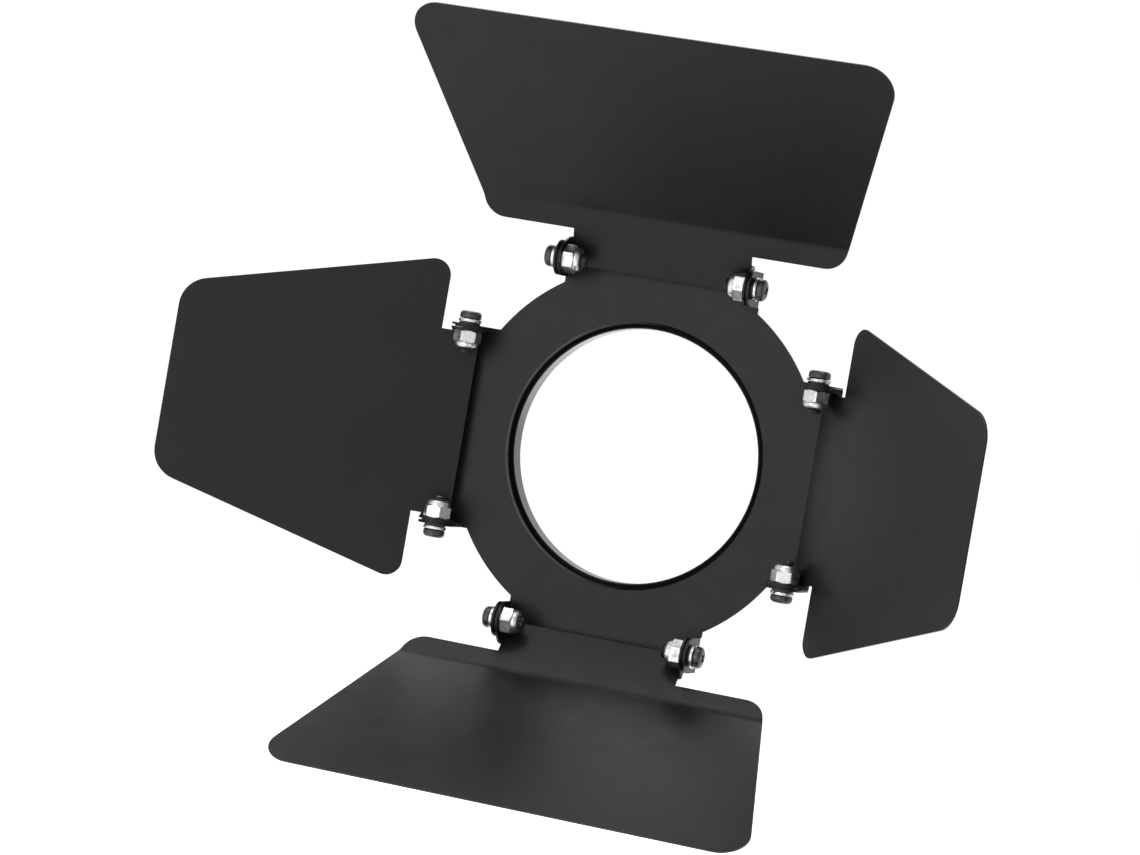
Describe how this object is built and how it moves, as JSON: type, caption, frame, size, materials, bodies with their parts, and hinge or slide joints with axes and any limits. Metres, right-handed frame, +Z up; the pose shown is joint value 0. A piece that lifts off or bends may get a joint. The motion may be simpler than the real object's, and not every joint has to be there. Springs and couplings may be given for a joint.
{
  "type": "barn door attachment",
  "caption": "Light-shaping attachment: a sheet-metal ring with a rear collar for a lamp's front, and hinged black leaves that fold in towards the beam.",
  "frame": {"origin": "on the collar's axis, at the centre of the collar's rear rim", "axes": "+Y backwards along the collar's axis, into the lamp, so the beam leaves towards -Y; +Z up, towards the top leaf; +X towards the right leaf, seen from the front"},
  "size_m": [0.2428, 0.0772, 0.2074],
  "materials": {
    "powder_coat": "satin black powder coat with a very fine texture on thin sheet steel",
    "black_screw": "semi-gloss black oxide on a steel screw",
    "black_washer": "satin black oxide on a steel washer",
    "zinc_plate": "bright zinc plate",
    "black_nylon": "matt black nylon",
    "natural_nylon": "natural off-white nylon"
  },
  "bodies": {
    "ring": {"ring_plate": "powder_coat", "top_hinge_screws": "black_screw", "top_hinge_flat_washers": "black_washer", "top_hinge_lock_washers": "zinc_plate", "top_hinge_friction_washers": "black_nylon", "top_hinge_nuts": "zinc_plate", "top_hinge_nut_inserts": "natural_nylon", "right_hinge_screws": "black_screw", "right_hinge_flat_washers": "black_washer", "right_hinge_lock_washers": "zinc_plate", "right_hinge_friction_washers": "black_nylon", "right_hinge_nuts": "zinc_plate", "right_hinge_nut_inserts": "natural_nylon", "bottom_hinge_screws": "black_screw", "bottom_hinge_flat_washers": "black_washer", "bottom_hinge_lock_washers": "zinc_plate", "bottom_hinge_friction_washers": "black_nylon", "bottom_hinge_nuts": "zinc_plate", "bottom_hinge_nut_inserts": "natural_nylon", "left_hinge_screws": "black_screw", "left_hinge_flat_washers": "black_washer", "left_hinge_lock_washers": "zinc_plate", "left_hinge_friction_washers": "black_nylon", "left_hinge_nuts": "zinc_plate", "left_hinge_nut_inserts": "natural_nylon"},
    "top_leaf": {"top_leaf": "powder_coat"},
    "right_leaf": {"right_leaf": "powder_coat"},
    "bottom_leaf": {"bottom_leaf": "powder_coat"},
    "left_leaf": {"left_leaf": "powder_coat"}
  },
  "joints": [
    {"name": "top_leaf_hinge", "type": "hinge", "parent": "ring", "child": "top_leaf", "pos_m": [0, -0.0159, 0.051], "axis": [1, 0, 0], "range_deg": [-36, 69]},
    {"name": "right_leaf_hinge", "type": "hinge", "parent": "ring", "child": "right_leaf", "pos_m": [0.051, -0.0159, 0], "axis": [0, 0, -1], "range_deg": [-61, 74]},
    {"name": "bottom_leaf_hinge", "type": "hinge", "parent": "ring", "child": "bottom_leaf", "pos_m": [0, -0.0159, -0.051], "axis": [-1, 0, 0], "range_deg": [-55, 50]},
    {"name": "left_leaf_hinge", "type": "hinge", "parent": "ring", "child": "left_leaf", "pos_m": [-0.051, -0.0159, 0], "axis": [0, 0, 1], "range_deg": [-31, 104]}
  ]
}
